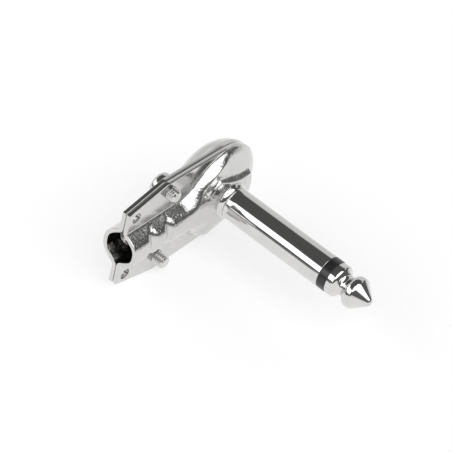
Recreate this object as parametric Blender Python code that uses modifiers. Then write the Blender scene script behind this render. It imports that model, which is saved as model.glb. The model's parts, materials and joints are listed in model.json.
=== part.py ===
"""Right-angle 6.35 mm mono jack plug with a two-part pressed shell, for Blender 4.5.

Units are metres and +Z is up. +X is the way the plug enters its socket and -Y is the cable end.
The origin is at the middle of the rear cover's flat back, on the plug's axis.
"""
import math

import bmesh
import bpy
from mathutils import Matrix, Vector

MM = 0.001

# Pressed shell: distances along X are measured from the parting plane
PARTING_X = 4.3 * MM          # the parting plane, from the rear cover's flat back
PARTING_GAP = 0.3 * MM        # between the two halves
SHEET = 0.75 * MM             # thickness of the pressed metal
FLANGE_TOP = 0.9 * MM         # outer face of each flat flange
CABLE_END_Y = -24.96 * MM
CABLE_END_HALF = 8.2 * MM     # half width of the shell at the cable end
SHOULDER_Y = -15.3 * MM       # where the flanges reach their full width
SHOULDER_HALF = 10.4 * MM
HEAD_Y = -0.4 * MM            # centre of the round head, just behind the plug's axis
HEAD_RADIUS = 9.9 * MM
FRONT_DOME = 3.1 * MM         # height of the front half's dome, upright on its rim round the head
FRONT_CROWN = 3.3 * MM        # height of the same dome beside the flanges
FRONT_CROWN_RADIUS = 12.2 * MM
FRONT_WALL_RADIUS = 9.3 * MM  # foot of the sweeping wall between the flanges and the crown
FRONT_WALL_SLOPE = 1.8
REAR_DOME = 4.3 * MM          # depth of the rear cover, down to its flat back
REAR_FLAT_RADIUS = 6.25 * MM
REAR_FOOT_RADIUS = 10.2 * MM  # where the rear dome's slope would run out beside the flanges
BOSS_TOP = 4.0 * MM           # the flat ring that carries the sleeve
BOSS_RADIUS = 3.7 * MM
BOSS_SLOPE = 0.2
BOSS_FOOT_RADIUS = 6.3 * MM
BOSS_SIDE_TURN = math.radians(16.9)  # how far the boss's straight side edges lean from the Y axis
BOSS_SIDE = 4.15 * MM         # distance of those edges from the plug's axis
BOSS_SIDE_TOP = 3.75 * MM
BOSS_SIDE_SLOPE = 1.4
CHANNEL_CREST = 3.8 * MM      # height of the cable channel's crown
CHANNEL_HALF = 4.05 * MM      # half width of the channel at the flanges
CHANNEL_FLARE = 1.2 * MM      # how much wider the channel's crown is where it meets the head
CHANNEL_SINK = 0.3 * MM       # how much lower the crown is there
RIBS_Y = (-20.0 * MM, -15.8 * MM)
RIB_DEPTH = 0.6 * MM
RIB_HALF_LENGTH = 1.25 * MM

# Fasteners: M2.6 x 0.45
SCREW_Y = -14.3 * MM
SCREW_Z = 7.8 * MM
SCREW_RADIUS = 1.3 * MM
SCREW_HOLE_RADIUS = 1.36 * MM
UPPER_STANDOUT = 1.6 * MM     # how far each screw passes the front flange
LOWER_STANDOUT = 2.1 * MM
SCREW_HEAD_RADIUS = 2.5 * MM
SCREW_HEAD_HEIGHT = 1.6 * MM
PIP_Y = -22.95 * MM
PIP_Z = 6.75 * MM
PIP_RADIUS = 0.95 * MM
PIP_HOLE_RADIUS = 1.05 * MM
PIP_HEIGHT = 0.55 * MM        # how far a pip stands past the parting plane

# Plug: a standard 6.35 mm mono plug, 32.0 mm from its shoulder to the tip's end
PLUG_RADIUS = 3.175 * MM
SLEEVE_BORE = 2.3 * MM
COLLAR_BACK = BOSS_TOP + 0.1 * MM
COLLAR_FRONT = 4.92 * MM
SLEEVE_END = 27.1 * MM
RING_END = 28.9 * MM
TIP_LENGTH = 8.25 * MM
TIP_ROUND = 1.1 * MM          # radius of the tip's rounded point
CONE_ANGLE = 40.5             # half angle of the tip's cone, in degrees
NECK_RADIUS = 2.65 * MM       # the sleeve's neck, through the front half
HEAD_HOLE_RADIUS = 2.75 * MM
ROD_RADIUS = 1.2 * MM
FIT_GAP = 0.1 * MM            # between pieces that touch

# Contacts and insulators inside the head, each a (rear face, front face) pair along X
LOCK_WASHER_X = (2.6 * MM, 3.1 * MM)
GROUND_LUG_X = (2.0 * MM, 2.5 * MM)
STAKED_RIM_X = (1.4 * MM, 1.9 * MM)
BUSH_FLANGE_X = (0.7 * MM, 1.3 * MM)
TERMINAL_X = (0.1 * MM, 0.6 * MM)
ROD_RIVET_X = (-0.5 * MM, 0.0 * MM)
LINER_X = (-3.35 * MM, -3.05 * MM)

ROUND_STEPS = 32
HEAD_RAYS = 22
SIDE_RAYS = 9
END_RAYS = 5
MOUTH_RAYS = 9
DOME_RINGS = 6
EDGE_RINGS = 8


def new_collection(name):
    collection = bpy.data.collections.new(name)
    bpy.context.scene.collection.children.link(collection)
    return collection


def clear_scene():
    for obj in list(bpy.data.objects):
        bpy.data.objects.remove(obj, do_unlink=True)


clear_scene()
PARTS = new_collection("jack_plug")
CUTTERS = new_collection("cutters")


def material(name, color, metallic, roughness):
    mat = bpy.data.materials.new(name)
    mat.use_nodes = True
    shader = mat.node_tree.nodes["Principled BSDF"]
    shader.inputs["Base Color"].default_value = (*color, 1.0)
    shader.inputs["Metallic"].default_value = metallic
    shader.inputs["Roughness"].default_value = roughness
    return mat


def add_object(name, bm, collection=PARTS, mat=None):
    mesh = bpy.data.meshes.new(name)
    bm.normal_update()
    bm.to_mesh(mesh)
    bm.free()
    obj = bpy.data.objects.new(name, mesh)
    collection.objects.link(obj)
    if mat:
        mesh.materials.append(mat)
    if collection is CUTTERS:
        obj.hide_render = True
        obj.display_type = "WIRE"
    return obj


def shade_round(obj, sharp_degrees=35):
    obj.data.shade_smooth()
    obj.data.set_sharp_from_angle(angle=math.radians(sharp_degrees))


def boolean(obj, tool, operation="DIFFERENCE"):
    modifier = obj.modifiers.new(operation.lower() + "_" + tool.name, "BOOLEAN")
    modifier.operation = operation
    modifier.object = tool


# Turned pieces ------------------------------------------------------------------------------------

def turned(name, profile, mat, closed=False):
    """Turn (radius, distance along X) points about the plug's axis, from front to rear."""
    bm = bmesh.new()
    verts = [bm.verts.new((radius, 0.0, PARTING_X + along)) for radius, along in profile]
    pairs = list(zip(verts, verts[1:]))
    if closed:
        pairs.append((verts[-1], verts[0]))
    for pair in pairs:
        bm.edges.new(pair)
    obj = add_object(name, bm, mat=mat)
    screw = obj.modifiers.new("turn", "SCREW")
    screw.axis = "Z"
    screw.steps = ROUND_STEPS
    screw.render_steps = ROUND_STEPS
    screw.use_merge_vertices = True
    screw.merge_threshold = 1e-7
    obj.rotation_euler = (0.0, math.radians(90), 0.0)
    return obj


def arc(centre_along, centre_radius, size, start, end, steps):
    """Points of an arc, as (radius, along); angles in degrees from the outward radius to the front."""
    points = []
    for step in range(steps + 1):
        angle = math.radians(start + (end - start) * step / steps)
        points.append((centre_radius + size * math.cos(angle), centre_along + size * math.sin(angle)))
    return points


def tube_profile(outer, inner, rear, front):
    return [(outer, front), (outer, rear), (inner, rear), (inner, front)]


def cylinder(name, radius, x_low, x_high, y, z, collection=CUTTERS, mat=None, segments=24):
    bm = bmesh.new()
    place = Matrix.Translation((PARTING_X + (x_low + x_high) / 2, y, z)) @ Matrix.Rotation(
        math.radians(90), 4, "Y")
    bmesh.ops.create_cone(bm, cap_ends=True, segments=segments, radius1=radius, radius2=radius,
                          depth=x_high - x_low, matrix=place)
    return add_object(name, bm, collection, mat)


def block(name, low, high, collection=CUTTERS, mat=None):
    bm = bmesh.new()
    size = [high[axis] - low[axis] for axis in range(3)]
    middle = [(high[axis] + low[axis]) / 2 for axis in range(3)]
    place = Matrix.Translation(middle) @ Matrix.Diagonal((*size, 1.0))
    bmesh.ops.create_cube(bm, size=1.0, matrix=place)
    return add_object(name, bm, collection, mat)


# Pressed shell ------------------------------------------------------------------------------------

def smooth_step(low, high, value):
    t = min(max((value - low) / (high - low), 0.0), 1.0)
    return t * t * (3 - 2 * t)


def smooth_max(a, b, blend):
    """The larger of two heights, with a fillet of about the blend's size where they cross."""
    overlap = max(blend - abs(a - b), 0.0) / blend
    return max(a, b) + overlap * overlap * blend / 4


def smooth_min(a, b, blend):
    return -smooth_max(-a, -b, blend)


def channel_height(y, z):
    """The half tube over the cable, flaring and sinking a little as it reaches the head."""
    flare = smooth_step(-15 * MM, -6 * MM, y)
    crest = CHANNEL_CREST - CHANNEL_SINK * flare
    aside = smooth_max(abs(z) - CHANNEL_FLARE * flare, 0.0, MM)
    height = crest - 0.09 * MM * (aside / MM) ** 2.45
    for rib_y in RIBS_Y:
        reach = min(abs(y - rib_y) / RIB_HALF_LENGTH, 1.0)
        share = min(max((height - FLANGE_TOP) / (CHANNEL_CREST - FLANGE_TOP), 0.0), 1.0)
        height -= RIB_DEPTH * (1 - reach * reach) ** 2 * share
    return height - 6 * MM * smooth_step(-4 * MM, 2 * MM, y)


def flange_height(y):
    """The flat flanges, running out where the outline meets the round head."""
    return FLANGE_TOP - 2 * FLANGE_TOP * smooth_step(-MM, 9 * MM, y)


def rim_share(y):
    """How far a dome stands upright on its rim: wholly round the head, not at all beside the flanges."""
    return smooth_step(-4 * MM, 0.5 * MM, y)


def upright_dome(height, flat_radius, radius, power):
    edge = max(radius - flat_radius, 0.0)
    return height * max(1 - (edge / (HEAD_RADIUS - flat_radius)) ** power, 0.0) ** (1 / power)


def front_height(y, z):
    """Channel and crown inside one sweeping wall beside the flanges, then the boss round the plug."""
    radius = math.hypot(y - HEAD_Y, z)
    crown = FRONT_CROWN * (1 - (radius / FRONT_CROWN_RADIUS) ** 5)
    inside = smooth_max(CHANNEL_HALF - abs(z), FRONT_WALL_RADIUS - radius, 2.5 * MM)
    wall = FLANGE_TOP + FRONT_WALL_SLOPE * inside
    shoulder = (0.35 + 0.9 * smooth_step(-4 * MM, -10 * MM, y)) * MM
    walled = smooth_min(smooth_max(crown, channel_height(y, z), 1.6 * MM), wall, shoulder)
    dome = walled + (upright_dome(FRONT_DOME, 0.0, radius, 2.5) - walled) * rim_share(y)
    axis_radius = math.hypot(y, z)
    boss = BOSS_TOP - BOSS_SLOPE * max(axis_radius - BOSS_RADIUS, 0.0)
    boss -= 2 * max(axis_radius - BOSS_FOOT_RADIUS, 0.0)
    aside = math.sin(BOSS_SIDE_TURN) * y + math.cos(BOSS_SIDE_TURN) * abs(z)
    boss = smooth_min(boss, BOSS_SIDE_TOP - BOSS_SIDE_SLOPE * (aside - BOSS_SIDE), 0.2 * MM)
    body = smooth_max(flange_height(y), dome, 0.4 * MM)
    return min(smooth_max(body, boss, 0.3 * MM), BOSS_TOP)


def rear_height(y, z):
    radius = math.hypot(y - HEAD_Y, z)
    edge = max(radius - REAR_FLAT_RADIUS, 0.0)
    sloped = REAR_DOME * (1 - (edge / (REAR_FOOT_RADIUS - REAR_FLAT_RADIUS)) ** 2)
    dome = sloped + (upright_dome(REAR_DOME, REAR_FLAT_RADIUS, radius, 1.8) - sloped) * rim_share(y)
    body = smooth_max(smooth_max(flange_height(y), channel_height(y, z), 0.6 * MM), dome, 1.2 * MM)
    return min(body, REAR_DOME)


def half_outline():
    """The shell's outline on the +Z side, as (y, z) from the head's far end to the cable end."""
    reach = math.hypot(HEAD_Y - SHOULDER_Y, SHOULDER_HALF)
    lean = math.atan2(SHOULDER_HALF, HEAD_Y - SHOULDER_Y)
    tangent = math.pi - lean - math.acos(HEAD_RADIUS / reach)
    points = []
    for step in range(HEAD_RAYS // 2 + 1):
        angle = tangent * step / (HEAD_RAYS // 2)
        points.append((HEAD_Y + HEAD_RADIUS * math.cos(angle), HEAD_RADIUS * math.sin(angle)))
    corners = [points[-1], (SHOULDER_Y, SHOULDER_HALF), (CABLE_END_Y, CABLE_END_HALF), (CABLE_END_Y, 0.0)]
    for start, end, count in zip(corners, corners[1:], (SIDE_RAYS, END_RAYS, MOUTH_RAYS)):
        for step in range(1, count + 1):
            share = step / count
            points.append(tuple(a + (b - a) * share for a, b in zip(start, end)))
    return points


def pressed_half(name, height, side, hole_radius, mat):
    """One half of the shell: rings between a round hole and the outline, raised and thickened."""
    half = half_outline()
    outline = half + [(y, -z) for y, z in reversed(half[1:-1])]
    rays = len(outline)
    rings = DOME_RINGS + EDGE_RINGS
    bm = bmesh.new()
    bmesh.ops.create_grid(bm, x_segments=rays, y_segments=rings, size=0.5)
    for vert in bm.verts:
        y, z = outline[round((vert.co.x + 0.5) * rays) % rays]
        ring = round((vert.co.y + 0.5) * rings)
        direction = Vector((y - HEAD_Y, z))
        reach = direction.length
        direction.normalize()
        dome_edge = min(max(reach - 0.9 * MM, HEAD_RADIUS - 0.9 * MM), HEAD_RADIUS)
        if ring <= DOME_RINGS:
            radius = hole_radius + (dome_edge - hole_radius) * ring / DOME_RINGS
        else:
            share = (ring - DOME_RINGS) / EDGE_RINGS
            crowding = 1 + 0.8 * smooth_step(-4 * MM, 0.0, y)
            radius = dome_edge + (reach - dome_edge) * (1 - (1 - share) ** crowding)
        centre_y = HEAD_Y * radius / reach
        if hole_radius:
            centre_y = HEAD_Y * max(radius - hole_radius, 0.0) / (reach - hole_radius)
        y = centre_y + radius * direction.x
        z = radius * direction.y
        rise = max(height(y, z), PARTING_GAP / 2)
        vert.co = (PARTING_X + side * rise, y, z)
    bmesh.ops.remove_doubles(bm, verts=bm.verts, dist=1e-7)
    bmesh.ops.dissolve_degenerate(bm, edges=bm.edges, dist=1e-7)
    bmesh.ops.recalc_face_normals(bm, faces=bm.faces)
    bm.normal_update()
    sample = max(bm.faces, key=lambda face: face.calc_area())
    if sample.normal.x * side < 0:
        bmesh.ops.reverse_faces(bm, faces=bm.faces)
    bmesh.ops.solidify(bm, geom=bm.faces[:], thickness=SHEET)
    for vert in bm.verts:
        depth = max((vert.co.x - PARTING_X) * side, PARTING_GAP / 2)
        vert.co.x = PARTING_X + side * depth
    bmesh.ops.recalc_face_normals(bm, faces=bm.faces)
    obj = add_object(name, bm, mat=mat)
    shade_round(obj)
    return obj


# Materials ----------------------------------------------------------------------------------------

NICKEL = material("nickel_plate", (0.72, 0.72, 0.71), 1.0, 0.12)
SLEEVE_PLATE = material("plug_plate", (0.75, 0.75, 0.74), 1.0, 0.08)
SCREW_PLATE = material("screw_plate", (0.68, 0.68, 0.67), 1.0, 0.2)
TINNED = material("tinned_brass", (0.66, 0.64, 0.6), 1.0, 0.3)
BLACK_PLASTIC = material("black_plastic", (0.015, 0.015, 0.016), 0.0, 0.35)
CLEAR_FILM = material("liner_film", (0.75, 0.75, 0.72), 0.0, 0.4)


# Shell halves -------------------------------------------------------------------------------------

front_shell = pressed_half("front_shell", front_height, 1, HEAD_HOLE_RADIUS, NICKEL)
rear_cover = pressed_half("rear_cover", rear_height, -1, 0.0, NICKEL)

for label, sign in (("upper", 1), ("lower", -1)):
    screw_z = sign * SCREW_Z
    pip_z = sign * PIP_Z
    for shell, side in ((front_shell, 1), (rear_cover, -1)):
        ends = sorted((side * PARTING_GAP / 4, side * 2 * FLANGE_TOP))
        hole = cylinder(f"{label}_{shell.name}_screw_hole", SCREW_HOLE_RADIUS, *ends, SCREW_Y, screw_z)
        boolean(shell, hole)
    pip_hole = cylinder(f"{label}_pip_hole", PIP_HOLE_RADIUS, PARTING_GAP / 4, 2 * FLANGE_TOP, PIP_Y, pip_z)
    boolean(front_shell, pip_hole)
    pip = cylinder(f"{label}_pip_form", PIP_RADIUS, -FLANGE_TOP / 2, PIP_HEIGHT, PIP_Y, pip_z)
    boolean(rear_cover, pip, "UNION")


# Plug ---------------------------------------------------------------------------------------------

turned("plug_sleeve", [
    (SLEEVE_BORE, SLEEVE_END),
    (PLUG_RADIUS - 0.1 * MM, SLEEVE_END),
    (PLUG_RADIUS, SLEEVE_END - 0.1 * MM),
    (PLUG_RADIUS, COLLAR_FRONT + 0.1 * MM),
    (PLUG_RADIUS + 0.1 * MM, COLLAR_FRONT),
    (PLUG_RADIUS + 0.4 * MM, COLLAR_FRONT - 0.4 * MM),
    (BOSS_RADIUS - 0.05 * MM, COLLAR_BACK),
    (NECK_RADIUS, COLLAR_BACK),
    (NECK_RADIUS, STAKED_RIM_X[1]),
    (NECK_RADIUS + 0.7 * MM, STAKED_RIM_X[1]),
    (NECK_RADIUS + 0.7 * MM, STAKED_RIM_X[0]),
    (SLEEVE_BORE, STAKED_RIM_X[0]),
], SLEEVE_PLATE, closed=True)

turned("insulating_ring", [
    (PLUG_RADIUS - 0.1 * MM, RING_END - FIT_GAP),
    (PLUG_RADIUS - 0.02 * MM, RING_END - 2 * FIT_GAP),
    (PLUG_RADIUS - 0.02 * MM, SLEEVE_END + FIT_GAP),
    (SLEEVE_BORE - FIT_GAP, SLEEVE_END + FIT_GAP),
    (SLEEVE_BORE - FIT_GAP, SLEEVE_END - 3 * MM),
    (ROD_RADIUS + FIT_GAP, SLEEVE_END - 3 * MM),
    (ROD_RADIUS + FIT_GAP, RING_END - FIT_GAP),
], BLACK_PLASTIC, closed=True)

turned("rod_insulator", tube_profile(
    SLEEVE_BORE - FIT_GAP, ROD_RADIUS + FIT_GAP, 6.1 * MM, SLEEVE_END - 3 * MM - FIT_GAP,
), CLEAR_FILM, closed=True)

turned("rear_bush", [
    (SLEEVE_BORE - FIT_GAP, 6 * MM),
    (SLEEVE_BORE - FIT_GAP, BUSH_FLANGE_X[1]),
    (NECK_RADIUS + MM, BUSH_FLANGE_X[1]),
    (NECK_RADIUS + MM, BUSH_FLANGE_X[0]),
    (ROD_RADIUS + FIT_GAP, BUSH_FLANGE_X[0]),
    (ROD_RADIUS + FIT_GAP, 6 * MM),
], BLACK_PLASTIC, closed=True)

tip_end = RING_END + TIP_LENGTH
turned("tip_contact", (
    [(0.0, tip_end)]
    + arc(tip_end - TIP_ROUND, 0.0, TIP_ROUND, 65, CONE_ANGLE, 2)
    + arc(RING_END + 4.75 * MM, 2.0 * MM, 1.12 * MM, CONE_ANGLE, 0, 3)
    + arc(RING_END + 4.5 * MM, 2.0 * MM, 1.12 * MM, 0, -60, 3)
    + arc(RING_END + 2.65 * MM, 2.93 * MM, 0.88 * MM, 130, 228, 5)
    + arc(RING_END + 0.95 * MM, 2.32 * MM, 0.83 * MM, 50, 0, 3)
    + [(PLUG_RADIUS - 0.03 * MM, RING_END)]
    + [(ROD_RADIUS, RING_END), (ROD_RADIUS, ROD_RIVET_X[1])]
    + [(ROD_RADIUS + 0.7 * MM, ROD_RIVET_X[1]), (ROD_RADIUS + 0.6 * MM, ROD_RIVET_X[0] + 0.2 * MM)]
    + [(ROD_RADIUS, ROD_RIVET_X[0]), (0.0, ROD_RIVET_X[0])]
), SLEEVE_PLATE)


# Contacts and liner inside the head ---------------------------------------------------------------

def lug(name, faces, ring_radius, bore, tail_end, tail_half, eye_radius, mat):
    """A flat soldering lug: a ring on the plug's axis with a tail towards the cable and an eye."""
    rear, front = faces
    middle = (rear + front) / 2
    obj = cylinder(name, ring_radius, rear, front, 0, 0, PARTS, mat, ROUND_STEPS)
    tail = block(name + "_tail", (PARTING_X + rear, tail_end, -tail_half), (PARTING_X + front, 0, tail_half))
    half = (front - rear) / 2 + FIT_GAP
    ring_bore = cylinder(name + "_bore", bore, middle - half, middle + half, 0, 0, segments=ROUND_STEPS)
    eye_y = tail_end + tail_half
    eye = cylinder(name + "_eye", eye_radius, middle - half, middle + half, eye_y, 0, segments=12)
    boolean(obj, tail, "UNION")
    boolean(obj, ring_bore)
    boolean(obj, eye)
    return obj


turned("lock_washer", tube_profile(3.5 * MM, NECK_RADIUS + FIT_GAP, *LOCK_WASHER_X), TINNED, closed=True)
lug("ground_lug", GROUND_LUG_X, 3.9 * MM, NECK_RADIUS + FIT_GAP, -9.5 * MM, 1.1 * MM, 0.6 * MM, TINNED)
lug("tip_terminal", TERMINAL_X, 2.9 * MM, ROD_RADIUS + FIT_GAP, -8 * MM, 1.2 * MM, 0.6 * MM, TINNED)
cylinder("insulating_liner", 5.6 * MM, *LINER_X, HEAD_Y, 0, PARTS, CLEAR_FILM, ROUND_STEPS)


# Screws -------------------------------------------------------------------------------------------

def machine_screw(name, screw_z, standout):
    """A cross-recessed pan-head screw, its head on the rear cover and its end past the front half."""
    seat = -FLANGE_TOP - FIT_GAP / 2
    top = seat - SCREW_HEAD_HEIGHT
    end = FLANGE_TOP + standout
    crown = arc(top + 0.9 * MM, SCREW_HEAD_RADIUS - 0.9 * MM, 0.9 * MM, 0, -90, 4)
    obj = turned(name, (
        [(0.0, end), (SCREW_RADIUS - 0.25 * MM, end), (SCREW_RADIUS, end - 0.25 * MM)]
        + [(SCREW_RADIUS, seat), (SCREW_HEAD_RADIUS, seat)]
        + crown + [(0.0, top)]
    ), SCREW_PLATE)
    obj.location = (0, SCREW_Y, screw_z)
    for arm, (half_y, half_z) in {"across": (1.35 * MM, 0.25 * MM), "along": (0.25 * MM, 1.35 * MM)}.items():
        low = (PARTING_X + top - 0.2 * MM, SCREW_Y - half_y, screw_z - half_z)
        high = (PARTING_X + top + 0.8 * MM, SCREW_Y + half_y, screw_z + half_z)
        boolean(obj, block(f"{name}_recess_{arm}", low, high))
    return obj


machine_screw("upper_screw", SCREW_Z, UPPER_STANDOUT)
machine_screw("lower_screw", -SCREW_Z, LOWER_STANDOUT)
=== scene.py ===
"""Looks of the right-angle jack plug: fine pressed shells, threads, turned plug and materials."""
import json
import math

import bmesh
import bpy
import numpy as np
from mathutils import Matrix, Vector


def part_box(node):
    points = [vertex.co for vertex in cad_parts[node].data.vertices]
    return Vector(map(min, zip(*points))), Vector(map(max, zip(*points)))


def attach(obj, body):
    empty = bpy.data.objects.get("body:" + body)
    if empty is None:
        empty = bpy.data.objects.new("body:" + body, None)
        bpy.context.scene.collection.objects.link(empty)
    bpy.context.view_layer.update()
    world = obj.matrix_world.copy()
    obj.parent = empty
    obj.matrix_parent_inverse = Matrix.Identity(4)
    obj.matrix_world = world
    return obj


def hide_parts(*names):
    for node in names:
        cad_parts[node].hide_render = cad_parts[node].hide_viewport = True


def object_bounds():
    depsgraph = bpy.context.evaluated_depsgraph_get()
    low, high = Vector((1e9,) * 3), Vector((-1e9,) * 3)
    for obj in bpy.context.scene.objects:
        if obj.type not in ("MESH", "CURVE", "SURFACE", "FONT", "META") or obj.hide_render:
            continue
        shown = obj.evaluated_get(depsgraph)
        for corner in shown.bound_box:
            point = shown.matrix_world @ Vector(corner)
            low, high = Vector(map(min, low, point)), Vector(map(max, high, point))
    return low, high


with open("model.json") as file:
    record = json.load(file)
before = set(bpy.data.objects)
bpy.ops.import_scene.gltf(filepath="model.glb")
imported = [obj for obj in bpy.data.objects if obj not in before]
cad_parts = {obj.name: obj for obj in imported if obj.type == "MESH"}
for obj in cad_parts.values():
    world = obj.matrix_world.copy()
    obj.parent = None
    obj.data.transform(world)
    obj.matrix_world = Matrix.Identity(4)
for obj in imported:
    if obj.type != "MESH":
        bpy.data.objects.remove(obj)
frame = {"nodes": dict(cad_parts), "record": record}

cad_low, cad_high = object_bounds()

MM = 0.001
JOINTS = {joint["name"]: joint for joint in frame["record"]["behaviour"]["joints"]}
PARTING_X, SCREW_Y, SCREW_Z = JOINTS["upper_screw_turn"]["pos_m"]


# Camera -------------------------------------------------------------------------------------------

CAMERA_AZIMUTH = 32.36
CAMERA_ELEVATION = 42.49
CAMERA_ROLL = 13.44
CAMERA_DISTANCE = 613.8 * MM
CAMERA_RIGHT_MM = 2.217
CAMERA_DOWN_MM = 6.821
CAMERA_LENS = 274.9


def add_camera():
    """Look at the plug's axis from above the cable end; azimuth is from -Y towards +X."""
    azimuth, elevation = math.radians(CAMERA_AZIMUTH), math.radians(CAMERA_ELEVATION)
    roll = math.radians(CAMERA_ROLL)
    back = Vector((math.sin(azimuth) * math.cos(elevation),
                   -math.cos(azimuth) * math.cos(elevation), math.sin(elevation)))
    level = Vector((math.cos(azimuth), math.sin(azimuth), 0.0))
    rise = back.cross(level)
    right = level * math.cos(roll) + rise * math.sin(roll)
    up = back.cross(right)
    plug_axis = Vector((PARTING_X, 0.0, 0.0))
    place = plug_axis + back * CAMERA_DISTANCE
    place = place + right * CAMERA_RIGHT_MM * MM - up * CAMERA_DOWN_MM * MM
    data = bpy.data.cameras.new("camera")
    data.sensor_width = 36.0
    data.lens = CAMERA_LENS
    data.clip_start = 0.05
    data.clip_end = 5.0
    camera = link_object("camera", data)
    camera.matrix_world = Matrix((
        (right.x, up.x, back.x, place.x),
        (right.y, up.y, back.y, place.y),
        (right.z, up.z, back.z, place.z),
        (0, 0, 0, 1),
    ))
    bpy.context.scene.camera = camera


# Materials ----------------------------------------------------------------------------------------

def node_material(name):
    mat = bpy.data.materials.new(name)
    mat.use_nodes = True
    nodes = mat.node_tree.nodes
    return mat, nodes, mat.node_tree.links, nodes["Principled BSDF"]


def noise(nodes, links, vector, scale, detail=3.0, roughness=0.5):
    node = nodes.new("ShaderNodeTexNoise")
    node.inputs["Scale"].default_value = scale
    node.inputs["Detail"].default_value = detail
    node.inputs["Roughness"].default_value = roughness
    links.new(vector, node.inputs["Vector"])
    return node.outputs["Fac"]


def ramp(nodes, links, value, low, high):
    """Map a 0 to 1 pattern onto a range of values."""
    node = nodes.new("ShaderNodeMapRange")
    node.inputs["To Min"].default_value = low
    node.inputs["To Max"].default_value = high
    links.new(value, node.inputs["Value"])
    return node.outputs["Result"]


def colour_between(nodes, links, value, dark, light):
    node = nodes.new("ShaderNodeValToRGB")
    node.color_ramp.elements[0].position = 0.3
    node.color_ramp.elements[1].position = 0.7
    node.color_ramp.elements[0].color = (*dark, 1)
    node.color_ramp.elements[1].color = (*light, 1)
    links.new(value, node.inputs["Fac"])
    return node.outputs["Color"]


def bump(nodes, links, height, distance, normal=None):
    node = nodes.new("ShaderNodeBump")
    node.inputs["Strength"].default_value = 1.0
    node.inputs["Distance"].default_value = distance
    links.new(height, node.inputs["Height"])
    if normal:
        links.new(normal, node.inputs["Normal"])
    return node.outputs["Normal"]


WAVE_SCALE = 420
CLOUD_SCALE = 260


def plated_metal(name, colour, roughness, grain_depth, wave_depth, grain_scale=9000,
                 drawn_from=None):
    """Bright nickel with a fine grain, slow waves left by pressing, and uneven roughness.

    With drawn_from, the grain shows only further than that from the parting plane, where the metal
    was drawn and its surface opened up.
    """
    mat, nodes, links, shader = node_material(name)
    coords = nodes.new("ShaderNodeTexCoord").outputs["Object"]
    grain = noise(nodes, links, coords, grain_scale, 2.0)
    waves = noise(nodes, links, coords, WAVE_SCALE, 1.0)
    cloud = noise(nodes, links, coords, CLOUD_SCALE, 4.0, 0.6)
    dark = tuple(channel * 0.94 for channel in colour)
    links.new(colour_between(nodes, links, cloud, dark, colour), shader.inputs["Base Color"])
    shader.inputs["Metallic"].default_value = 1.0
    uneven = ramp(nodes, links, cloud, roughness * 0.7, roughness * 1.3)
    links.new(uneven, shader.inputs["Roughness"])
    if drawn_from:
        split = nodes.new("ShaderNodeSeparateXYZ")
        links.new(coords, split.inputs["Vector"])
        depth = nodes.new("ShaderNodeMath")
        depth.operation = "COMPARE"
        depth.inputs[1].default_value = PARTING_X
        depth.inputs[2].default_value = drawn_from
        links.new(split.outputs["X"], depth.inputs[0])
        flat = nodes.new("ShaderNodeMix")
        links.new(depth.outputs[0], flat.inputs["Factor"])
        links.new(grain, flat.inputs["A"])
        flat.inputs["B"].default_value = 0.5
        grain = flat.outputs["Result"]
    slow = bump(nodes, links, waves, wave_depth)
    links.new(bump(nodes, links, grain, grain_depth, slow), shader.inputs["Normal"])
    return mat


def plastic(name, dark, light, roughness):
    mat, nodes, links, shader = node_material(name)
    coords = nodes.new("ShaderNodeTexCoord").outputs["Object"]
    mottle = noise(nodes, links, coords, 1500, 3.0)
    links.new(colour_between(nodes, links, mottle, dark, light), shader.inputs["Base Color"])
    uneven = ramp(nodes, links, mottle, roughness * 0.8, roughness * 1.2)
    links.new(uneven, shader.inputs["Roughness"])
    links.new(bump(nodes, links, mottle, 0.004 * MM), shader.inputs["Normal"])
    return mat


SHELL_METAL = plated_metal("shell_nickel", (0.66, 0.655, 0.645), 0.14, 0.055 * MM, 0.006 * MM,
                           grain_scale=2200, drawn_from=0.95 * MM)
PLUG_METAL = plated_metal("plug_nickel", (0.70, 0.695, 0.685), 0.05, 0.0003 * MM, 0.0005 * MM)
SCREW_METAL = plated_metal("screw_nickel", (0.68, 0.675, 0.665), 0.16, 0.001 * MM, 0.002 * MM)
TINNED = plated_metal("tinned_metal", (0.66, 0.64, 0.60), 0.3, 0.004 * MM, 0.01 * MM)
BLACK = plastic("black_plastic", (0.012, 0.012, 0.013), (0.02, 0.02, 0.021), 0.3)
FILM = plastic("liner_plastic", (0.62, 0.62, 0.58), (0.75, 0.75, 0.71), 0.45)


# Mesh helpers -------------------------------------------------------------------------------------

def link_object(name, data):
    obj = bpy.data.objects.new(name, data)
    bpy.context.scene.collection.objects.link(obj)
    return obj


def stored_mesh(name, bm):
    mesh = bpy.data.meshes.new(name)
    bm.to_mesh(mesh)
    bm.free()
    return mesh


def add_piece(name, mesh, mat, body, node, sharp=30):
    obj = link_object(name, mesh)
    mesh.materials.clear()
    mesh.materials.append(mat)
    mesh.shade_smooth()
    mesh.set_sharp_from_angle(angle=math.radians(sharp))
    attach(obj, body)
    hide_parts(node)
    return obj


def arc(centre_along, centre_radius, size, start, end, steps):
    """Points of an arc, as (radius, along), with 0 degrees pointing outward and 90 to the tip."""
    return [
        (centre_radius + size * math.cos(angle), centre_along + size * math.sin(angle))
        for angle in np.radians(np.linspace(start, end, steps + 1))
    ]


def turned_ring(bm, along, radii, turns, y=0.0, z=0.0):
    """A ring of points about an axis along X, or a single point where the radius is nothing."""
    if radii.max() < 1e-9:
        return [bm.verts.new((PARTING_X + along, y, z))]
    return [
        bm.verts.new((PARTING_X + along, y + radius * math.cos(turn), z + radius * math.sin(turn)))
        for radius, turn in zip(radii, turns)
    ]


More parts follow.
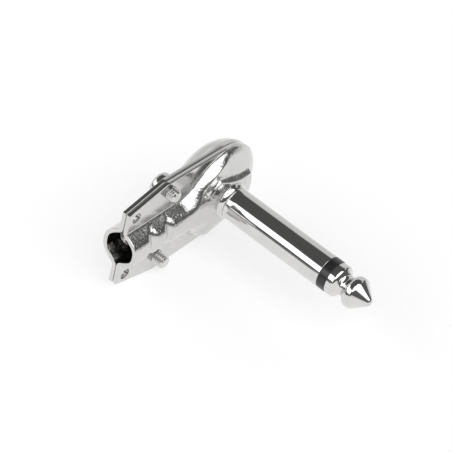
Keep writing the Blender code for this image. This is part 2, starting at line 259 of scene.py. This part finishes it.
def skin(bm, rings, steps, closed=False):
    """Join each ring to the next; a ring may be a single point, and closed joins last to first."""
    pairs = list(zip(rings, rings[1:]))
    if closed:
        pairs.append((rings[-1], rings[0]))
    for first, second in pairs:
        for step in range(steps):
            after = (step + 1) % steps
            corners = list(dict.fromkeys((
                first[step % len(first)], first[after % len(first)],
                second[after % len(second)], second[step % len(second)],
            )))
            if len(corners) > 2:
                bm.faces.new(corners)


def turned_mesh(name, profile, steps=160, closed=False):
    """Turn (radius, distance from the parting plane) points about the plug's axis."""
    bm = bmesh.new()
    turns = np.linspace(0, math.tau, steps, endpoint=False)
    rings = [turned_ring(bm, along, np.full(steps, radius), turns) for radius, along in profile]
    skin(bm, rings, steps, closed)
    bmesh.ops.recalc_face_normals(bm, faces=bm.faces)
    return stored_mesh(name, bm)


# Pressed shell ------------------------------------------------------------------------------------

SHEET = 0.86 * MM
HALF_GAP = 0.03 * MM
FLANGE_TOP = 0.9 * MM
cover_low, cover_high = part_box("rear_cover")
CABLE_END_Y = cover_low.y + 0.04 * MM
CABLE_END_HALF = 8.2 * MM
SHOULDER_Y = -15.3 * MM
SHOULDER_HALF = cover_high.z
HEAD_Y = -0.4 * MM
HEAD_RADIUS = 9.9 * MM
EDGE_ROUND = 0.14 * MM
EDGE_BAND = 0.9 * MM
RIM_Y = (-4 * MM, 0.5 * MM)
CROWDED_Y = (-4 * MM, 0.0)
UPRIGHT_EDGE_Y = -6 * MM
FLANGE_END_Y = (-1 * MM, 9 * MM)
FRONT_DOME = 3.1 * MM
FRONT_DOME_POWER = 2.5
FRONT_CROWN = 3.1 * MM
FRONT_CROWN_RADIUS = 12.8 * MM
FRONT_CROWN_POWER = 5
FRONT_CROWN_BLEND = 1.6 * MM
FRONT_WALL_RADIUS = 9.3 * MM
FRONT_WALL_SLOPE = 1.8
FRONT_WALL_BLEND = 3.2 * MM
FRONT_WALL_SHIFT = 0.1 * MM
FRONT_BODY_BLEND = 0.4 * MM
SHOULDER_BLEND_MM = 0.35
SHOULDER_BLEND_GAIN_MM = 0.9
SHOULDER_BLEND_Y = (-4 * MM, -10 * MM)
REAR_DOME = 4.3 * MM
REAR_DOME_POWER = 1.8
REAR_DOME_BLEND = 1.2 * MM
REAR_CHANNEL_BLEND = 0.6 * MM
REAR_FLAT_RADIUS = 6.25 * MM
REAR_FOOT_RADIUS = 10.2 * MM
BOSS_TOP = 4.0 * MM
BOSS_RADIUS = 3.7 * MM
BOSS_SLOPE = 0.2
BOSS_FOOT_RADIUS = 6.3 * MM
BOSS_FOOT_SLOPE = 2
BOSS_BLEND = 0.3 * MM
BOSS_SIDE_TURN = math.radians(16.9)
BOSS_SIDE = 4.15 * MM
BOSS_SIDE_TOP = 3.75 * MM
BOSS_SIDE_SLOPE = 1.4
BOSS_SIDE_BLEND = 0.2 * MM
CHANNEL_CREST = 3.8 * MM
CHANNEL_HALF = 4.05 * MM
CHANNEL_FLARE = 1.2 * MM
CHANNEL_SINK = 0.3 * MM
CHANNEL_FLARE_Y = (-15 * MM, -6 * MM)
CHANNEL_FLAT_BLEND = MM
CHANNEL_ROUNDNESS = 0.09 * MM
CHANNEL_POWER = 2.45
CHANNEL_END_Y = (-4 * MM, 2 * MM)
CHANNEL_END_DROP = 6 * MM
RIBS_Y = (-20.0 * MM, -15.8 * MM)
RIB_DEPTH = 0.6 * MM
RIB_HALF_LENGTH = 1.25 * MM
NECK_HOLE_RADIUS = 2.75 * MM
SCREW_HOLE_RADIUS = 1.32 * MM
PIP_Y = -22.95 * MM
PIP_Z = 6.75 * MM
PIP_RADIUS = 0.98 * MM
PIP_HOLE_RADIUS = 1.05 * MM
PIP_HEIGHT = 0.15 * MM

HEAD_RAYS = 150
SIDE_RAYS = 50
END_RAYS = 30
MOUTH_RAYS = 56
DOME_RINGS = 56
EDGE_RINGS = 60
ROUND_RINGS = 4


def smooth_step(low, high, value):
    t = np.clip((value - low) / (high - low), 0.0, 1.0)
    return t * t * (3 - 2 * t)


def smooth_max(a, b, blend):
    """The larger of two heights, with a fillet of about the blend's size where they cross."""
    overlap = np.maximum(blend - np.abs(a - b), 0.0) / blend
    return np.maximum(a, b) + overlap * overlap * blend / 4


def smooth_min(a, b, blend):
    return -smooth_max(-a, -b, blend)


def channel_height(y, z):
    """The half tube over the cable, flaring and sinking a little as it reaches the head."""
    flare = smooth_step(*CHANNEL_FLARE_Y, y)
    crest = CHANNEL_CREST - CHANNEL_SINK * flare
    aside = smooth_max(np.abs(z) - CHANNEL_FLARE * flare, 0.0, CHANNEL_FLAT_BLEND)
    height = crest - CHANNEL_ROUNDNESS * (aside / MM) ** CHANNEL_POWER
    for rib_y in RIBS_Y:
        reach = np.minimum(np.abs(y - rib_y) / RIB_HALF_LENGTH, 1.0)
        share = np.clip((height - FLANGE_TOP) / (CHANNEL_CREST - FLANGE_TOP), 0.0, 1.0)
        height = height - RIB_DEPTH * (1 - reach * reach) ** 2 * share
    return height - CHANNEL_END_DROP * smooth_step(*CHANNEL_END_Y, y)


def flange_height(y):
    """The flat flanges, running out where the outline meets the round head."""
    return FLANGE_TOP - 2 * FLANGE_TOP * smooth_step(*FLANGE_END_Y, y)


def rim_share(y):
    """How far a dome stands upright on its rim: wholly round the head, not beside the flanges."""
    return smooth_step(*RIM_Y, y)


def upright_dome(height, flat_radius, radius, power):
    edge = np.maximum(radius - flat_radius, 0.0) / (HEAD_RADIUS - flat_radius)
    return height * np.clip(1 - edge ** power, 0.0, 1.0) ** (1 / power)


def front_height(y, z):
    """Channel and crown inside one sweeping wall, then the boss round the plug."""
    radius = np.hypot(y - HEAD_Y, z)
    crown = FRONT_CROWN * (1 - (radius / FRONT_CROWN_RADIUS) ** FRONT_CROWN_POWER)
    raised = smooth_max(crown, channel_height(y, z), FRONT_CROWN_BLEND)
    inside = smooth_max(CHANNEL_HALF - np.abs(z), FRONT_WALL_RADIUS - radius, FRONT_WALL_BLEND)
    wall = FLANGE_TOP + FRONT_WALL_SLOPE * (inside - FRONT_WALL_SHIFT)
    shoulder_share = smooth_step(*SHOULDER_BLEND_Y, y)
    shoulder = (SHOULDER_BLEND_MM + SHOULDER_BLEND_GAIN_MM * shoulder_share) * MM
    walled = smooth_min(raised, wall, shoulder)
    upright = upright_dome(FRONT_DOME, 0.0, radius, FRONT_DOME_POWER)
    dome = walled + (upright - walled) * rim_share(y)
    axis_radius = np.hypot(y, z)
    boss = BOSS_TOP - BOSS_SLOPE * np.maximum(axis_radius - BOSS_RADIUS, 0.0)
    boss = boss - BOSS_FOOT_SLOPE * np.maximum(axis_radius - BOSS_FOOT_RADIUS, 0.0)
    aside = math.sin(BOSS_SIDE_TURN) * y + math.cos(BOSS_SIDE_TURN) * np.abs(z)
    side = BOSS_SIDE_TOP - BOSS_SIDE_SLOPE * (aside - BOSS_SIDE)
    boss = smooth_min(boss, side, BOSS_SIDE_BLEND)
    body = smooth_max(flange_height(y), dome, FRONT_BODY_BLEND)
    return np.minimum(smooth_max(body, boss, BOSS_BLEND), BOSS_TOP)


def rear_height(y, z):
    """The deeper half: a flat-backed dome, with the channel and flanges running into it."""
    radius = np.hypot(y - HEAD_Y, z)
    edge = np.maximum(radius - REAR_FLAT_RADIUS, 0.0)
    sloped = REAR_DOME * (1 - (edge / (REAR_FOOT_RADIUS - REAR_FLAT_RADIUS)) ** 2)
    upright = upright_dome(REAR_DOME, REAR_FLAT_RADIUS, radius, REAR_DOME_POWER)
    dome = sloped + (upright - sloped) * rim_share(y)
    tail = smooth_max(flange_height(y), channel_height(y, z), REAR_CHANNEL_BLEND)
    return np.minimum(smooth_max(tail, dome, REAR_DOME_BLEND), REAR_DOME)


def half_outline():
    """The shell's outline on the +Z side, as (y, z) from the head's far end to the cable end."""
    reach = math.hypot(HEAD_Y - SHOULDER_Y, SHOULDER_HALF)
    lean = math.atan2(SHOULDER_HALF, HEAD_Y - SHOULDER_Y)
    tangent = math.pi - lean - math.acos(HEAD_RADIUS / reach)
    turns = np.linspace(0, tangent, HEAD_RAYS // 2 + 1)
    points = [
        (HEAD_Y + HEAD_RADIUS * math.cos(turn), HEAD_RADIUS * math.sin(turn)) for turn in turns
    ]
    corners = [points[-1], (SHOULDER_Y, SHOULDER_HALF), (CABLE_END_Y, CABLE_END_HALF),
               (CABLE_END_Y, 0.0)]
    for start, end, count in zip(corners, corners[1:], (SIDE_RAYS, END_RAYS, MOUTH_RAYS)):
        for share in np.linspace(0, 1, count + 1)[1:]:
            points.append(tuple(a + (b - a) * share for a, b in zip(start, end)))
    return points


def pressed_mesh(name, height, side, hole_radius):
    """One half of the shell: rings between a round hole and the outline, raised and thickened.

    The rings of the outer face run to the edge, round it, and come back as those of the inner face.
    """
    half = half_outline()
    edge = np.array(half + [(y, -z) for y, z in reversed(half[1:-1])])
    rays = len(edge)
    along = np.roll(edge, -1, axis=0) - np.roll(edge, 1, axis=0)
    outward = np.stack([along[:, 1], -along[:, 0]], 1)
    outward /= np.linalg.norm(outward, axis=1, keepdims=True)
    outline = edge - outward * EDGE_ROUND
    offset = outline - (HEAD_Y, 0.0)
    reach = np.hypot(*offset.T)
    direction = offset / reach[:, None]
    dome_edge = np.clip(reach - EDGE_BAND, HEAD_RADIUS - EDGE_BAND, HEAD_RADIUS - EDGE_ROUND)
    crowding = 1 + smooth_step(*CROWDED_Y, outline[:, 0])
    outer = []
    for ring in range(DOME_RINGS + EDGE_RINGS + 1):
        if ring <= DOME_RINGS:
            radius = hole_radius + (dome_edge - hole_radius) * ring / DOME_RINGS
        else:
            share = (ring - DOME_RINGS) / EDGE_RINGS
            radius = dome_edge + (reach - dome_edge) * (1 - (1 - share) ** crowding)
        centre = HEAD_Y * (radius - hole_radius) / (reach - hole_radius)
        y = centre + radius * direction[:, 0]
        z = radius * direction[:, 1]
        outer.append(np.stack([side * np.maximum(height(y, z), SHEET), y, z], 1))
    outer = np.array(outer)
    around = np.roll(outer, -1, axis=1) - np.roll(outer, 1, axis=1)
    normals = np.cross(np.gradient(outer, axis=0), around)
    normals /= np.maximum(np.linalg.norm(normals, axis=2, keepdims=True), 1e-12)
    normals *= side * np.sign(normals[:, :, 0].sum())
    if hole_radius == 0:
        normals[0] = (side, 0.0, 0.0)
    inner = outer - normals * SHEET
    upright = outline[:, 0] > UPRIGHT_EDGE_Y
    inner[-1, upright] = outer[-1, upright]
    normals[-1, upright] = (side, 0.0, 0.0)
    inner[-1, upright, 0] = 0.0
    inner[:, :, 0] = side * np.maximum(inner[:, :, 0] * side, HALF_GAP)
    sideways = np.concatenate([np.zeros((rays, 1)), outward], axis=1)
    turns = np.linspace(0, math.pi / 2, ROUND_RINGS + 1)[1:]
    over, under = [], []
    for turn in turns:
        out, down = sideways * math.sin(turn), normals[-1] * (1 - math.cos(turn))
        over.append(outer[-1] + EDGE_ROUND * (out - down))
        under.insert(0, inner[-1] + EDGE_ROUND * (out + down))
    points = np.concatenate([outer, over, under, inner[::-1]])
    points[:, :, 0] += PARTING_X
    bm = bmesh.new()
    rings = [[bm.verts.new(point) for point in ring] for ring in points]
    skin(bm, rings, rays, closed=hole_radius > 0)
    bmesh.ops.remove_doubles(bm, verts=bm.verts, dist=1e-8)
    bmesh.ops.dissolve_degenerate(bm, edges=bm.edges, dist=1e-8)
    bmesh.ops.recalc_face_normals(bm, faces=bm.faces)
    return stored_mesh(name, bm)


def rod_tool(name, radius, x_low, x_high, y, z, segments=96):
    """A rod along X for cutting or joining, between two distances from the parting plane."""
    bm = bmesh.new()
    turn = Matrix.Rotation(math.radians(90), 4, "Y")
    place = Matrix.Translation((PARTING_X + (x_low + x_high) / 2, y, z)) @ turn
    bmesh.ops.create_cone(bm, cap_ends=True, segments=segments, radius1=radius, radius2=radius,
                          depth=x_high - x_low, matrix=place)
    return link_object(name, stored_mesh(name, bm))


def cut(mesh, tools):
    """Apply (operation, tool) booleans to a mesh and remove the tools."""
    obj = link_object(mesh.name, mesh)
    for operation, tool in tools:
        modifier = obj.modifiers.new(tool.name, "BOOLEAN")
        modifier.operation = operation
        modifier.object = tool
    depsgraph = bpy.context.evaluated_depsgraph_get()
    done = bpy.data.meshes.new_from_object(obj.evaluated_get(depsgraph))
    for used in [obj] + [tool for _, tool in tools]:
        bpy.data.objects.remove(used, do_unlink=True)
    return done


def build_shells():
    front = pressed_mesh("front_shell_pressing", front_height, 1, NECK_HOLE_RADIUS)
    rear = pressed_mesh("rear_cover_pressing", rear_height, -1, 0.0)
    front_tools, rear_tools = [], []
    for label, sign in (("upper", 1), ("lower", -1)):
        screw_z, pip_z = sign * SCREW_Z, sign * PIP_Z
        front_tools.append(("DIFFERENCE", rod_tool(
            f"{label}_thread_bore", SCREW_HOLE_RADIUS, -MM, 2 * MM, SCREW_Y, screw_z)))
        front_tools.append(("DIFFERENCE", rod_tool(
            f"{label}_pip_bore", PIP_HOLE_RADIUS, -MM, 2 * MM, PIP_Y, pip_z)))
        rear_tools.append(("DIFFERENCE", rod_tool(
            f"{label}_screw_bore", SCREW_HOLE_RADIUS, -2 * MM, MM, SCREW_Y, screw_z)))
        rear_tools.append(("UNION", rod_tool(
            f"{label}_pip_form", PIP_RADIUS, -FLANGE_TOP / 2, PIP_HEIGHT, PIP_Y, pip_z)))
    add_piece("front_pressing", cut(front, front_tools), SHELL_METAL,
              "plug", "front_shell")
    add_piece("rear_pressing", cut(rear, rear_tools), SHELL_METAL,
              "cover", "rear_cover")


# Plug ---------------------------------------------------------------------------------------------

PLUG_RADIUS = 3.175 * MM
SLEEVE_BORE = 2.3 * MM
COLLAR_BACK = BOSS_TOP + 0.02 * MM
COLLAR_FRONT = 4.92 * MM
SLEEVE_END = 27.1 * MM
RING_END = 28.9 * MM
TIP_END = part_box("tip_contact")[1].x - PARTING_X
SLEEVE_EDGE = 0.08 * MM
RING_SPIGOT = 3 * MM
TIP_ROUND = 1.1 * MM
CONE_ANGLE = 40.5
ROD_RADIUS = 1.2 * MM
NECK_RADIUS = 2.65 * MM


def build_plug():
    sleeve = turned_mesh("sleeve", (
        [(SLEEVE_BORE, SLEEVE_END), (PLUG_RADIUS - SLEEVE_EDGE, SLEEVE_END)]
        + arc(SLEEVE_END - SLEEVE_EDGE, PLUG_RADIUS - SLEEVE_EDGE, SLEEVE_EDGE, 75, 0, 4)
        + [(PLUG_RADIUS, along) for along in np.linspace(20 * MM, COLLAR_FRONT + 0.32 * MM, 12)]
        + arc(COLLAR_FRONT + 0.2 * MM, PLUG_RADIUS - 0.02 * MM, 0.1 * MM, 70, -70, 8)
        + [(PLUG_RADIUS - 0.04 * MM, COLLAR_FRONT + 0.03 * MM)]
        + [(PLUG_RADIUS + 0.02 * MM, COLLAR_FRONT)]
        + arc(COLLAR_BACK - 0.35 * MM, BOSS_RADIUS - 1.6 * MM, 1.6 * MM, 48, 14, 12)
        + [(BOSS_RADIUS - 0.02 * MM, COLLAR_BACK)]
        + [(NECK_RADIUS, COLLAR_BACK), (NECK_RADIUS, 1.9 * MM)]
        + [(NECK_RADIUS + 0.65 * MM, 1.9 * MM), (NECK_RADIUS + 0.7 * MM, 1.8 * MM)]
        + [(NECK_RADIUS + 0.6 * MM, 1.4 * MM), (SLEEVE_BORE, 1.4 * MM)]
    ), closed=True)
    add_piece("turned_sleeve", sleeve, PLUG_METAL, "plug", "plug_sleeve")
    ring = turned_mesh("ring", [
        (ROD_RADIUS + 0.1 * MM, RING_END - 0.02 * MM),
        (PLUG_RADIUS - 0.09 * MM, RING_END - 0.02 * MM),
        (PLUG_RADIUS - 0.03 * MM, RING_END - 0.08 * MM),
        (PLUG_RADIUS - 0.03 * MM, SLEEVE_END + 0.06 * MM),
        (PLUG_RADIUS - 0.08 * MM, SLEEVE_END + 0.01 * MM),
        (SLEEVE_BORE - 0.1 * MM, SLEEVE_END + 0.01 * MM),
        (SLEEVE_BORE - 0.1 * MM, SLEEVE_END - RING_SPIGOT),
        (ROD_RADIUS + 0.1 * MM, SLEEVE_END - RING_SPIGOT),
    ], closed=True)
    add_piece("moulded_ring", ring, BLACK, "plug", "insulating_ring")
    # From the point backwards: cone, its shoulder, waist, flare, then the rod down to its rivet.
    tip = turned_mesh("tip", (
        [(0.0, TIP_END)]
        + arc(TIP_END - TIP_ROUND, 0.0, TIP_ROUND, 87, CONE_ANGLE, 14)
        + arc(RING_END + 4.75 * MM, 2.0 * MM, 1.12 * MM, CONE_ANGLE, 0, 14)
        + arc(RING_END + 4.5 * MM, 2.0 * MM, 1.12 * MM, 0, -60, 16)
        + arc(RING_END + 2.65 * MM, 2.93 * MM, 0.88 * MM, 130, 228, 20)
        + arc(RING_END + 0.95 * MM, 2.32 * MM, 0.83 * MM, 50, 0, 14)
        + [(PLUG_RADIUS - 0.03 * MM, RING_END + 0.06 * MM)]
        + [(PLUG_RADIUS - 0.09 * MM, RING_END), (ROD_RADIUS, RING_END), (ROD_RADIUS, 0.0)]
        + [(ROD_RADIUS + 0.7 * MM, 0.0)]
        + [(ROD_RADIUS + 0.6 * MM, -0.3 * MM), (ROD_RADIUS, -0.5 * MM), (0.0, -0.5 * MM)]
    ))
    add_piece("turned_tip", tip, PLUG_METAL, "plug", "tip_contact")


# Screws -------------------------------------------------------------------------------------------

SCREW_RADIUS = 1.3 * MM
THREAD_PITCH = 0.45 * MM
THREAD_DEPTH = 0.24 * MM
SCREW_HEAD_RADIUS = 2.5 * MM
SCREW_HEAD_HEIGHT = 1.6 * MM
SCREW_HEAD_CROWN = 0.95 * MM
SCREW_HEAD_EDGE = 0.08 * MM
SCREW_END_RADIUS = 0.95 * MM
SCREW_END_SLOPE = 1.1
SCREW_TURNS = {"upper": 20, "lower": 65}
RECESS_HEIGHT = 1.8 * MM
RECESS_LENGTHS = (2.9, 1.3)
RECESS_WIDTHS = (0.5, 0.3)
TURN_STEPS = 96


def screw_mesh(name, y, z, end):
    """A threaded shank under a pan head, made of rings along X about the screw's own axis."""
    seat = -FLANGE_TOP - 0.02 * MM
    top = seat - SCREW_HEAD_HEIGHT
    turns = np.linspace(0, math.tau, TURN_STEPS, endpoint=False)
    rows = [(end, np.full(TURN_STEPS, radius)) for radius in np.linspace(0.0, 0.8, 5) * MM]
    for along in np.arange(end, seat, -THREAD_PITCH / 12):
        phase = np.mod((along / THREAD_PITCH) - turns / math.tau, 1.0)
        flank = np.clip(np.abs(phase - 0.5) * 2.6 - 0.15, 0.0, 1.0)
        radius = SCREW_RADIUS - THREAD_DEPTH * flank
        chamfer = SCREW_END_RADIUS + (end - along) * SCREW_END_SLOPE
        rows.append((along, np.minimum(radius, chamfer)))
    rows.append((seat, np.full(TURN_STEPS, SCREW_RADIUS - THREAD_DEPTH)))
    edge, crown = SCREW_HEAD_EDGE, SCREW_HEAD_CROWN
    head = [(SCREW_HEAD_RADIUS - edge, seat)]
    head += arc(seat - edge, SCREW_HEAD_RADIUS - edge, edge, 60, 0, 3)
    head += arc(top + crown, SCREW_HEAD_RADIUS - crown, crown, 0, -90, 16)
    head += [(0.0, top)]
    rows += [(along, np.full(TURN_STEPS, radius)) for radius, along in head]
    bm = bmesh.new()
    skin(bm, [turned_ring(bm, along, radii, turns, y, z) for along, radii in rows], TURN_STEPS)
    bmesh.ops.recalc_face_normals(bm, faces=bm.faces)
    return stored_mesh(name, bm), top


def recess_tool(name, top, y, z, turn):
    """One tapering blade of a cross recess."""
    bm = bmesh.new()
    bmesh.ops.create_cube(bm, size=1.0)
    for vert in bm.verts:
        deep = vert.co.x > 0
        vert.co.x *= RECESS_HEIGHT
        vert.co.y *= RECESS_LENGTHS[deep] * MM
        vert.co.z *= RECESS_WIDTHS[deep] * MM
    bmesh.ops.transform(bm, verts=bm.verts, matrix=Matrix.Rotation(turn, 4, "X"))
    bmesh.ops.translate(bm, verts=bm.verts, vec=(PARTING_X + top, y, z))
    return link_object(name, stored_mesh(name, bm))


def build_screws():
    for label, sign in (("upper", 1), ("lower", -1)):
        screw_z = sign * SCREW_Z
        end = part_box(f"{label}_screw")[1].x - PARTING_X
        mesh, top = screw_mesh(f"{label}_threads", SCREW_Y, screw_z, end)
        blades = []
        for quarter in (0, 90):
            turn = math.radians(SCREW_TURNS[label] + quarter)
            blades.append(("DIFFERENCE", recess_tool(
                f"{label}_blade_{quarter}", top, SCREW_Y, screw_z, turn)))
        add_piece(f"{label}_machine_screw", cut(mesh, blades), SCREW_METAL,
                  f"{label}_screw", f"{label}_screw", sharp=40)


# Carried-over pieces ------------------------------------------------------------------------------

def assign(node, mat):
    materials = frame["nodes"][node].data.materials
    materials.clear()
    materials.append(mat)


build_shells()
build_plug()
build_screws()
for node_name in ("ground_lug", "tip_terminal", "lock_washer"):
    assign(node_name, TINNED)
assign("rear_bush", BLACK)
for node_name in ("rod_insulator", "insulating_liner"):
    assign(node_name, FILM)


# Floor and light ----------------------------------------------------------------------------------

FLOOR_CENTRE = (0.015, -0.005)
FLOOR_RADIUS = 0.16
FLOOR_DROP = 0.05 * MM
FLOOR_GREY = 0.45
FLOOR_GLOW = 0.63
CEILING = 0.10
# Soft boxes and walls: azimuth from -Y towards +X, half width, lowest and highest elevation and
# softness in degrees, then brightness. Later ones stand in front of earlier ones.
STUDIO = (
    (180.0, 180.0, -90.0, 3.0, 2.0, 0.90),
    (-140.0, 75.0, -90.0, 41.0, 5.0, 0.78),
    (-40.0, 26.0, -6.0, 4.0, 2.0, 0.25),
    (-27.0, 42.0, 15.0, 44.0, 3.0, 2.4),
    (95.0, 76.0, 7.0, 29.0, 4.0, 0.13),
    (74.0, 50.0, 31.0, 72.0, 4.0, 2.4),
)


def add_floor():
    """A pale table top of its own soft glow, just under the shell's lower edge."""
    bm = bmesh.new()
    bmesh.ops.create_circle(bm, cap_ends=True, segments=96, radius=FLOOR_RADIUS)
    floor = link_object("floor", stored_mesh("floor", bm))
    floor.location = (*FLOOR_CENTRE, cad_low.z - FLOOR_DROP)
    mat, _, _, shader = node_material("floor_paper")
    shader.inputs["Base Color"].default_value = (FLOOR_GREY, FLOOR_GREY, FLOOR_GREY, 1)
    shader.inputs["Roughness"].default_value = 0.9
    shader.inputs["Specular IOR Level"].default_value = 0.0
    shader.inputs["Emission Color"].default_value = (1, 1, 1, 1)
    shader.inputs["Emission Strength"].default_value = FLOOR_GLOW
    floor.data.materials.append(mat)


def add_world():
    """A white table under a dark ceiling, with two soft boxes and pale walls standing round it."""
    world = bpy.context.scene.world or bpy.data.worlds.new("studio")
    bpy.context.scene.world = world
    world.use_nodes = True
    nodes, links = world.node_tree.nodes, world.node_tree.links
    nodes.clear()
    direction = nodes.new("ShaderNodeTexCoord").outputs["Generated"]

    def maths(operation, first, second=0.0):
        node = nodes.new("ShaderNodeMath")
        node.operation = operation
        for socket, value in zip(node.inputs, (first, second)):
            if isinstance(value, float):
                socket.default_value = value
            else:
                links.new(value, socket)
        return node.outputs[0]

    def fade(value, start, end):
        """0 at start and 1 at end, in degrees."""
        node = nodes.new("ShaderNodeMapRange")
        node.interpolation_type = "SMOOTHSTEP"
        node.inputs["From Min"].default_value = math.radians(start)
        node.inputs["From Max"].default_value = math.radians(end)
        links.new(value, node.inputs["Value"])
        return node.outputs["Result"]

    split = nodes.new("ShaderNodeSeparateXYZ")
    links.new(direction, split.inputs["Vector"])
    elevation = maths("ARCSINE", split.outputs["Z"])
    glow = fade(elevation, -90.0, -89.0)
    glow = maths("MULTIPLY", glow, CEILING)
    for centre, half_width, low, high, softness, value in STUDIO:
        turned_round = nodes.new("ShaderNodeMapping")
        turned_round.inputs["Rotation"].default_value = (0, 0, -math.radians(centre))
        links.new(direction, turned_round.inputs["Vector"])
        parts = nodes.new("ShaderNodeSeparateXYZ")
        links.new(turned_round.outputs["Vector"], parts.inputs["Vector"])
        aside = maths("ABSOLUTE", maths("ARCTAN2", parts.outputs["X"],
                                        maths("MULTIPLY", parts.outputs["Y"], -1.0)))
        share = maths("MULTIPLY", fade(elevation, low - softness, low + softness),
                      fade(elevation, high + softness, high - softness))
        share = maths("MULTIPLY", share, fade(aside, half_width + softness, half_width - softness))
        glow = maths("ADD", maths("MULTIPLY", glow, maths("SUBTRACT", 1.0, share)),
                     maths("MULTIPLY", share, value))
    studio = nodes.new("ShaderNodeBackground")
    links.new(glow, studio.inputs["Color"])
    paper = nodes.new("ShaderNodeBackground")
    paper.inputs["Color"].default_value = (1, 1, 1, 1)
    mix = nodes.new("ShaderNodeMixShader")
    links.new(nodes.new("ShaderNodeLightPath").outputs["Is Camera Ray"], mix.inputs["Fac"])
    links.new(studio.outputs["Background"], mix.inputs[1])
    links.new(paper.outputs["Background"], mix.inputs[2])
    output = nodes.new("ShaderNodeOutputWorld")
    links.new(mix.outputs["Shader"], output.inputs["Surface"])


add_camera()
add_floor()
add_world()
bpy.context.scene.view_settings.view_transform = "Standard"
